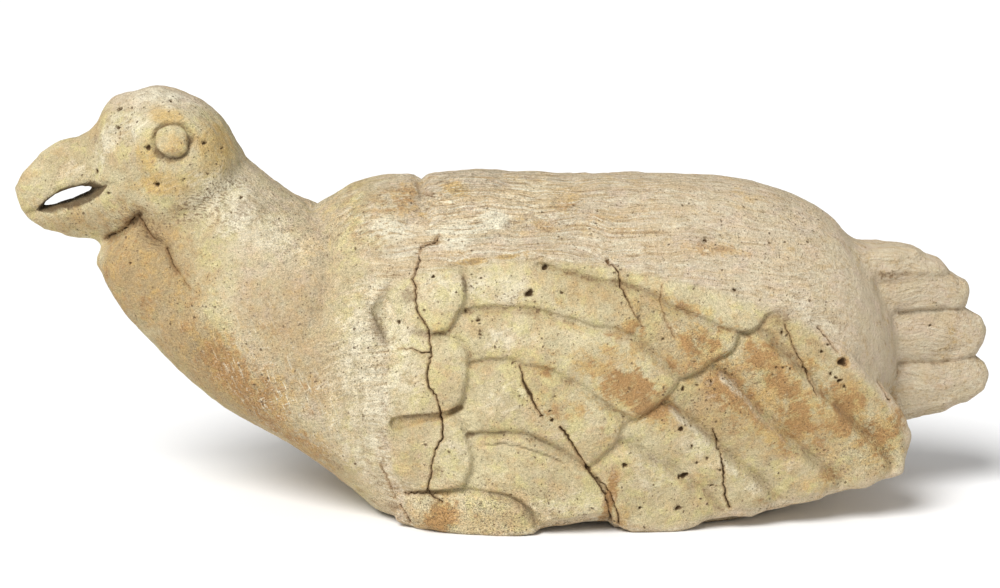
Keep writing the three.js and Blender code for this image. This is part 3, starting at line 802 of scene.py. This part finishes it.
PALES = [
    (-54, 74, 20, 36, 0, 0.72), (-24, 104, 9, 9, 0, 0.6), (-2, 103, 18, 7, 0, 0.6),
    (2, 84, 16, 6, 0, 0.55), (0, 60, 14, 9, 0, 0.5), (13, 136, 15, 6, 0, 0.6), (-20, 35, 12, 14, 0, 0.4),
    (-60, 40, 14, 24, 20, 0.6), (103, 22, 14, 3, -42, 0.6), (-182, 147, 22, 7, 20, 0.35),
    (-142, 182, 28, 7.5, -5, 1), (-157, 168, 9, 7, 50, 0.7), (30, 12, 20, 9, 0, 0.5),
    (-169, 160, 5, 16, -25, 0.7), (-118, 134, 22, 14, -35, 0.75), (118, 20, 30, 8, 20, 0.35),
    (60, 10, 20, 7, 0, 0.3), (62, 26, 14, 10, -40, 0.5), (131, 92, 14, 5, -40, 0.6),
    (-100, 122, 20, 9, -30, 0.55), (84, 36, 12, 7, -40, 0.5), (-18.8, 124, 11, 5.5, 0, 1),
    (-2.3, 129, 8, 5, 0, 1), (-45.8, 125.5, 11, 4.5, -8, 0.9), (-41, 114.6, 8, 4, 0, 0.8),
    (60, 125, 60, 6, 0, 0.3), (24, 44, 12, 4, -25, 0.3),
]
# Dark soil rubbed into the surface, with painted shade in some of its patches, coarser grain, fine
# scratches, and the hatching on the breast.
SMUDGES_AND_SHADE = [
    # Painted shade with some soil: the patches round the eye's ring, at the lobes' rear edges, along the
    # lost flake's left edge, and where the chin and throat creases meet.
    (-128, 133.5, 15, 6, 25, 0.5), (-112, 142, 5, 4, 0, 0.6), (-145.2, 155.9, 3, 1.5, -42, 1.5),
    (-147.6, 163, 1.1, 3, -20, 1), (-132.5, 161.5, 0.9, 5, 0, 0.9), (-139.5, 153.9, 4, 1.2, 0, 1),
    (-150, 125, 10, 5, 40, 0.6), (-30, 13, 5, 4, 0, 0.9), (120, 90, 6, 4, 0, 0.9),
    (-164, 166, 7, 5, 60, 0.5), (-60, 10, 8, 5, -40, 0.7), (-51.5, 86, 3, 9, 20, 1.2),
    (30, 7, 9, 5, 0, 0.4), (-13, 94, 5, 2, 0, 0.9), (-70, 24, 7, 5, -40, 0.5),
    (-33, 50.5, 12, 1.2, 12, 0.9), (-50, 40, 6, 14, 20, 0.35), (-12.6, 42.2, 2.5, 1.4, 0, 1.1),
    (32, 108.6, 17, 1.1, -14, 0.9), (101, 84, 5, 1.6, 20, 0.7), (110, 87.5, 7, 1.6, 42, 0.9),
    (-13, 75, 1.6, 7, 0, 0.6), (-24, 84.5, 9, 1.5, 0, 0.8), (-15, 103, 1.4, 7, 0, 0.8),
    (-155, 127, 5, 3, 45, 1.3), (-176, 159, 6, 5, 0, 0.55), (-46, 8, 4, 3, 0, 0.9),
    (-51, 21, 4, 5, 0, 0.7), (-150, 118.5, 6, 3, -45, 0.9), (142, 88, 6, 3, -45, 0.6),
    (-26, 25, 4, 5, 0, 0.8), (8, 100, 12, 4, 0, 0.3), (14, 93.5, 22, 1.2, -3, 0.5),
    (176, 101, 10, 2, 0, 0.5), (178, 83.5, 10, 2, 0, 0.6), (-12, 113.2, 5, 0.8, 4, 1.2),
    (3, 115.5, 4.5, 0.8, 6, 1.2), (-39, 99.5, 4, 3.5, 0, 0.9),
]
COARSE = [
    (-80, 132, 26, 24, 0, 1), (-15, 136, 42, 14, 0, 0.9), (-12, 6, 32, 12, 0, 1.6),
    (158, 34, 18, 14, 0, 0.6), (95, 72, 36, 12, -38, 0.7), (-60, 80, 22, 34, 0, 0.6),
    (-110, 62, 34, 18, -45, 0.7),
]
SCRAPES = [
    (-128, 133.5, 16, 7, 25, 1), (-149, 119, 8, 5, -45, 1), (-116, 128, 14, 6, 20, 0.7),
    (-163, 128, 10, 7, 25, 0.8),
]
HATCHED = [(-92, 52, 32, 20, -45, 1), (-90, 128, 26, 12, -20, 0.4)]


def patches(side, rows):
    total = np.zeros(len(side))
    for x, z, half_long, half_wide, turn, strength in rows:
        c, s = math.cos(math.radians(turn)), math.sin(math.radians(turn))
        dx, dz = side[:, 0] - x, side[:, 1] - z
        away = ((dx * c + dz * s) / half_long) ** 2 + ((dz * c - dx * s) / half_wide) ** 2
        total = np.maximum(total, strength * np.exp(-0.7 * away**1.5))
    return total


def record(name, values, kind="FLOAT", field="value"):
    """One of the clay's own values at each vertex, for its material."""
    attribute = bird.data.attributes.new(name, kind, "POINT")
    attribute.data.foreach_set(field, values.astype(np.float32).ravel())


side = places[:, [0, 2]]
show = 1 - ease(y, -12, 4)
other = 1 - show
on_face = x < -104
dirty_lines = [
    (gap_to(line, side, 12)[0], region, dirt)
    for lines, region in ((wing_lines, on_wing), (face_lines, on_face), (tail_lines, x > 160))
    for line, _, _, dirt in lines
]
ring_gap = np.where(on_head, np.abs(radius - EYE_RING), 12)


def beside(width, least):
    """Dirt in the cut lines, fading over this width beside them; clean ones still get the least share, which
    is painted shade.
    """
    grooves = 1.35 * bell(ring_gap, 0.8 * width)
    for gap, region, dirt in dirty_lines:
        share = region * (least + (1 - least) * dirt)
        grooves = np.maximum(grooves, share * bell(gap, width))
    return grooves


flights = on_wing * (depth_in(covert_outline, side) < 0) * (x > 40)
below_ridge = z < np.interp(x, *flight_lines[2][0].T)
flights = flights * ease(depth_in(wing_outline, side), 0, 5) * (0.25 + 0.75 * ease(z, 14, 44))
flights = flights * np.where(below_ridge, 0.3, 1)
# Painted highlight, with pale rubbing, on the upper part of two of the flight feathers' edges, where light
# catches them.
lit_lips = np.zeros(len(side))
for line, _, _, _ in flight_lines[1:3]:
    below, along = below_line(line, side, 8)
    lit = bell(below - 1.4, 1.6) * ease(along, 0.02, 0.08) * ease(along, 0.75, 0.2)
    lit_lips = np.maximum(lit_lips, on_wing * lit)
# Painted shadow along the rib's step under the fourth covert, carried in the groove tint.
rib_shadow = 0.5 * on_left * bell(rib_gap, 0.9)
record("groove", np.maximum(beside(0.9, 0), rib_shadow))
# Painted shade in the valleys beside the cut lines and the eye's ring, deeper where the lines hold soil.
record("hollow_shade_and_soil", beside(2.4, 0.35))
record("crack", crack)
record("pit", pit)
record("stain", show * patches(side, STAINS) + other * 0.6 * ease(swell(places, 60, 42), 0.6, 1.7))
tan = np.maximum(0.6 * flights, show * patches(side, TANS) + other * 0.5 * (1 - ease(z, 10, 60)))
record("tan", np.maximum(tan, 0.65 * in_slot * on_left))
normals = read(bird.data.vertex_normals, "vector", 3)
# Painted shade inside the mouth: on its inner walls and just inside its lips.
in_mouth = depth_in(GAPE_MIDDLE + (mouth_outline - GAPE_MIDDLE) * 1.03, side, 8) > -0.2
below_skin = ease(beak_half(x) - np.abs(y), 0.6, 2.2)
inner_wall = np.maximum(ease(np.abs(normals[:, 1]), 0.8, 0.45), below_skin)
record("mouth", in_mouth * inner_wall * (0.8 + 0.2 * ease(x, -190, -174)))
# The shoulder's top was combed round in arcs, about a point low on the shoulder.
spread = x + 44, z - 94
arc = np.column_stack([8 * np.arctan2(*spread), np.hypot(*spread), np.zeros(len(side))])
record("arc", arc, "FLOAT_VECTOR", "vector")
arced = ease(np.hypot((x + 52) / 1.3, z - 130), 19, 9)
record("arced", arced)
record("ochre", show * patches(side, OCHRES) + other * 0.5 * ease(swell(places, 50, 43), 0.6, 1.7))
pale = show * patches(side, PALES) + other * 0.7 * ease(swell(places, 60, 44), 0.3, 1.4)
# The pale tint also carries the painted highlight on those two flight feathers' edges.
record("pale", np.maximum(pale, 0.65 * lit_lips))
record("smudge_and_shade", show * patches(side, SMUDGES_AND_SHADE))
record("scraped", show * patches(side, SCRAPES))
grain = 0.95 + 0.75 * patches(side, COARSE) - 0.7 * ease(x, 125, 168) * (1 - on_wing)
record("grain", grain)
on_body = (1 - on_wing) * ease(x, -66, -40)
on_end = ease(np.abs(normals[:, 0]), 0.45, 0.8)
combed = on_body * (1.25 - 0.65 * ease(x, 20, 120)) * (1 - 0.9 * arced) * (1 - 0.8 * on_end)
record("combed", combed)
hatched = 0.3 * ease(-x, 60, 80) + patches(side, HATCHED)
record("hatched", hatched * (1 - on_wing) * (1 - on_body))
crown = on_face * ease(z, 168, 178)
rosy_neck = 0.6 * ease(-x, 60, 80) * ease(-x, 120, 108)
record("rosy", np.maximum(np.maximum(on_body, crown), rosy_neck))

# The fired clay itself: a matt buff body with grit, pinholes and wiping marks in it, darkened by soil in its
# cuts and cracks and by painted shade in its cuts, inside the mouth and in a few other recesses, and never
# glazed.
CREAM = (0.63, 0.55, 0.34)
BUFF = (0.47, 0.38, 0.215)
ROSE = (0.575, 0.475, 0.355)
CHALK = (0.74, 0.69, 0.525)
WARM = (0.56, 0.39, 0.19)
BLUSH = (0.62, 0.455, 0.35)
STRAW = (0.62, 0.55, 0.25)
TAN = (0.40, 0.275, 0.135)
RUST = (0.34, 0.185, 0.075)
OCHRE = (0.565, 0.37, 0.12)
UMBER = (0.19, 0.125, 0.065)
HOLE = (0.075, 0.04, 0.016)


class Shade:
    """An output of a shader node. Sums and products of it add their own nodes."""

    def __init__(self, tree, socket=None):
        self.tree = tree
        self.socket = socket

    def node(self, kind, settings=None, values=None, output=0):
        """A new node of this kind: its settings first, then the values or links of its inputs."""
        made = self.tree.nodes.new(kind)
        for name, value in (settings or {}).items():
            setattr(made, name, value)
        for name, value in (values or {}).items():
            if isinstance(value, Shade):
                self.tree.links.new(value.socket, made.inputs[name])
            else:
                made.inputs[name].default_value = value
        return Shade(self.tree, made.outputs[output] if made.outputs else None)

    def math(self, operation, first, second):
        return self.node("ShaderNodeMath", {"operation": operation}, {0: first, 1: second})

    def __add__(self, other):
        return self.math("ADD", self, other)

    def __sub__(self, other):
        return self.math("SUBTRACT", self, other)

    def __rsub__(self, other):
        return self.math("SUBTRACT", other, self)

    def __mul__(self, other):
        return self.math("MULTIPLY", self, other)

    __radd__ = __add__
    __rmul__ = __mul__

    def between(self, low, high):
        """0 at low, 1 at high, smooth between them. High may be the lower number."""
        ends = {"Value": self, "From Min": low, "From Max": high}
        if low > high:
            ends = {"Value": self, "From Min": high, "From Max": low, "To Min": 1.0, "To Max": 0.0}
        return self.node("ShaderNodeMapRange", {"interpolation_type": "SMOOTHSTEP"}, ends)

    def tint(self, colour, share):
        """This colour mixed with another one by a share."""
        ends = {0: share, 6: self, 7: (*colour, 1)}
        return self.node("ShaderNodeMix", {"data_type": "RGBA"}, ends, output=2)

    def shaded(self, factor):
        """This colour made lighter or darker by a factor."""
        return self.node("ShaderNodeVectorMath", {"operation": "SCALE"}, {0: self, "Scale": factor})


clay = bpy.data.materials.new("terracotta")
clay.use_nodes = True
clay.node_tree.nodes.clear()
coat = Shade(clay.node_tree)


def noise(place, scale, detail=2.0, roughness=0.55, output=0):
    ends = {"Vector": place, "Scale": scale, "Detail": detail, "Roughness": roughness}
    return coat.node("ShaderNodeTexNoise", None, ends, output)


def bent(place, scale, reach):
    """Places shifted about by up to this reach in metres, so that patterns on them wander."""
    shift = noise(place, scale, 2.0, 0.5, output=1)
    ends = {0: shift, 1: (reach,) * 3, 2: place}
    return coat.node("ShaderNodeVectorMath", {"operation": "MULTIPLY_ADD"}, ends)


def strokes(place, turn, length, width):
    """Noise drawn out into strokes of this length and width in metres, at this turn."""
    ends = {"Vector": place, "Rotation": (0, math.radians(turn), 0), "Scale": (length, width, width)}
    drawn = coat.node("ShaderNodeMapping", {"vector_type": "TEXTURE"}, ends)
    return noise(drawn, 1.0, 3.0, 0.6)


def pinholes(place, scale, size, share):
    """1 in small holes, in about that share of the cells of a random pattern."""
    near = coat.node("ShaderNodeTexVoronoi", None, {"Vector": place, "Scale": scale})
    lot = coat.node("ShaderNodeTexVoronoi", None, {"Vector": place, "Scale": scale}, output=1)
    lot = coat.node("ShaderNodeSeparateColor", None, {0: lot})
    return near.between(size, size * 0.5) * (lot + share).between(1.0, 1.03)


def marked(name, output=2):
    return coat.node("ShaderNodeAttribute", {"attribute_name": name}, output=output)


place = coat.node("ShaderNodeTexCoord", output=3)
wandering = bent(place, 28, 0.012)
frayed = bent(place, 700, 0.0016)
broad = noise(place, 24, 3)
cloud = noise(place, 85, 4, 0.62)
mottle = noise(place, 260, 4, 0.65) - 0.5
grit = noise(place, 820, 3, 0.7) - 0.5
dust = noise(place, 2100, 1) - 0.5
comb_fine = strokes(wandering, 2, 0.034, 0.0012)
comb_broad = strokes(wandering, -5, 0.06, 0.005)
steady = bent(place, 60, 0.003)
hatch_up = strokes(steady, 70, 0.012, 0.0011)
hatch_down = strokes(steady, -22, 0.014, 0.0011)
dashes = strokes(wandering, -8, 0.0022, 0.0008)
scrapes = strokes(wandering, 12, 0.006, 0.0009)
arc_fine = noise(marked("arc", 1), 0.8, 3.0)
crowd = noise(place, 42, 2)
sparse = marked("grain").between(0.9, 0.4) * 0.55
holes = pinholes(frayed, 300, 0.2, (crowd - 0.42) * 1.6 - sparse)
fine_holes = pinholes(frayed, 620, 0.24, (crowd - 0.3) * 2.0 + marked("smudge_and_shade") * 0.8 - sparse)

combed = marked("combed")
arced = marked("arced")
hatched = marked("hatched")
crack = marked("crack")
pit = marked("pit")
worn = (cloud - 0.5) * 1.9 + mottle * 1.7
scored = (comb_fine - 0.5) * combed * 1.6 + (hatch_down - 0.5) * (1 - combed) * 1.8

grime = noise(wandering, 150, 4, 0.7)
base = {0: (broad * 0.7 + cloud * 0.3 + worn * 0.2).between(0.34, 0.64), 6: (*CREAM, 1), 7: (*BUFF, 1)}
colour = coat.node("ShaderNodeMix", {"data_type": "RGBA"}, base, output=2)
blots = noise(wandering, 120, 4.0, 0.62, output=1)
rosy = marked("rosy")
blot_shades = (WARM, 0.5), (BLUSH, rosy * 0.4 + 0.15), (STRAW, 0.55 - rosy * 0.2)
for blot, (shade, share) in enumerate(blot_shades):
    spot = coat.node("ShaderNodeSeparateColor", None, {0: blots}, output=blot)
    colour = colour.tint(shade, spot.between(0.48, 0.64) * share)
stain = marked("stain") + worn * 1.15 + scored * 0.7
crossed = hatch_up.between(0.54, 0.7) + hatch_down.between(0.54, 0.7)
grain = grit * 0.75 + dust * 1.1 + mottle * 0.65 + (cloud - 0.5) * 0.4
scratch = (scrapes + grit * 0.8).between(0.52, 0.6) * marked("scraped")
# The clay's own colours come first, with painted shade beside the cut lines and a painted highlight on two
# flight feathers' edges, then the grain of its surface, then the soil on it, mixed with painted shade inside
# the mouth and in some smudges and a painted shadow along the rib.
clay_shade_and_highlight_layers = (
    (ROSE, rosy * 0.66),
    (TAN, grime.between(0.54, 0.7) * 0.45),
    (TAN, (marked("tan") + worn * 0.55).between(0.15, 1.0) * 0.85),
    (OCHRE, (marked("ochre") + worn * 0.7).between(0.25, 1.1) * 0.7),
    (OCHRE, (stain + (grime - 0.5) * 1.5).between(0.2, 0.9) * 0.45),
    (RUST, (stain - (grime - 0.5) * 2.0).between(0.35, 1.1) * 0.8),
    (CHALK, (marked("pale") + worn * 0.8 + scored * 0.4).between(0.2, 1.1) * 0.8),
    (WARM, comb_broad.between(0.48, 0.64) * combed * 0.35),
    (TAN, comb_fine.between(0.48, 0.34) * combed * 0.5),
    (CHALK, (comb_fine + grit * 0.6).between(0.53, 0.68) * combed * 0.6),
    (TAN, arc_fine.between(0.5, 0.36) * arced * 0.65),
    (CHALK, arc_fine.between(0.53, 0.68) * arced * 0.4),
    (CHALK, crossed * (cloud.between(0.36, 0.54) * hatched) * 0.5),
    # Painted shade in the valleys beside the cut lines, partly soil.
    (UMBER, (marked("hollow_shade_and_soil") + worn * 0.4).between(0.1, 1.2) * 0.27),
)
soil_and_shade_layers = (
    (UMBER, (comb_fine + dust * 0.5).between(0.4, 0.26) * combed * 0.5),
    # Painted shade inside the mouth.
    (HOLE, (marked("mouth") + worn * 0.3).between(0.1, 0.9) * 0.82),
    # Soil, and painted shade round the eye's ring, at the lobes' rear edges, along the flake's left edge and
    # where the chin and throat creases meet.
    (UMBER, (marked("smudge_and_shade") + worn * 1.1 + grit * 2.6).between(0.45, 1.2) * 0.62),
    # Soil in the cut lines and the eye's ring, and the painted shadow along the rib.
    (UMBER, (marked("groove") + worn * 1.4 + grit * 2.2).between(0.45, 1.3) * 0.6),
    (UMBER, (dashes + grit * 0.8).between(0.63, 0.73) * (marked("grain") - 0.85) * 1.2),
    (UMBER, holes * 0.85 + fine_holes * 0.75 + scratch * 0.8),
    (UMBER, (pit + grit * 1.8).between(0.2, -0.4) * 0.7),
    (HOLE, (pit + grit * 2.2).between(0.05, -0.7) * 0.85),
    (RUST, (crack + worn * 0.8).between(1.2, 0.1) * 0.4),
    (HOLE, (crack + grit * 1.1).between(0.22, -0.14) * 0.9),
)
for shade, share in clay_shade_and_highlight_layers:
    colour = colour.tint(shade, share)
colour = colour.shaded(grain * marked("grain") + 0.99)
for shade, share in soil_and_shade_layers:
    colour = colour.tint(shade, share)

height = mottle * 0.0013 + grit * 0.0009 + dust * 0.0002
height = height + (comb_fine - 0.5) * combed * 0.0009 + (comb_broad - 0.5) * combed * 0.0012
height = height + (arc_fine - 0.5) * arced * 0.0012
height = height + (hatch_up + hatch_down) * hatched * 0.0005 - holes * 0.0008 - fine_holes * 0.0003
bump = coat.node("ShaderNodeBump", None, {"Height": height, "Distance": 1.0, "Strength": 1.0})
shader = coat.node(
    "ShaderNodeBsdfPrincipled",
    None,
    {"Base Color": colour, "Roughness": 0.93, "Specular IOR Level": 0.2, "Normal": bump},
)
coat.node("ShaderNodeOutputMaterial", None, {"Surface": shader})
bird.data.materials.clear()
bird.data.materials.append(clay)

# The ground: a plain pale table.
FLOOR_SIZE = 16
FLOOR_WHITE = (0.92, 0.92, 0.92, 1)

bpy.ops.object.select_all(action="DESELECT")
bpy.ops.mesh.primitive_plane_add(size=FLOOR_SIZE)
table = bpy.context.object
table.name = "table"
table_white = bpy.data.materials.new("table_white")
table_white.use_nodes = True
table_shader = table_white.node_tree.nodes["Principled BSDF"]
table_shader.inputs["Base Color"].default_value = FLOOR_WHITE
table_shader.inputs["Roughness"].default_value = 0.9
table_shader.inputs["Specular IOR Level"].default_value = 0.1
table.data.materials.append(table_white)

# The light: a broad soft lamp high in front and to the left, in a bright white room.
SUN_HEADING = (-0.35, -0.55, 0.76)
SUN_STRENGTH = 3.2
SUN_SPREAD = math.radians(30)
ROOM_LIGHT = 0.45

bpy.ops.object.light_add(type="SUN", location=[2 * c for c in SUN_HEADING])
lamp = bpy.context.object
lamp.name = "soft_lamp"
lamp.rotation_euler = (
    math.atan2(math.hypot(SUN_HEADING[0], SUN_HEADING[1]), SUN_HEADING[2]),
    0,
    math.atan2(SUN_HEADING[0], -SUN_HEADING[1]),
)
lamp.data.energy = SUN_STRENGTH
lamp.data.angle = SUN_SPREAD
room = bpy.data.worlds.new("white_room")
bpy.context.scene.world = room
room.use_nodes = True
room.node_tree.nodes["Background"].inputs["Color"].default_value = (1, 1, 1, 1)
room.node_tree.nodes["Background"].inputs["Strength"].default_value = ROOM_LIGHT
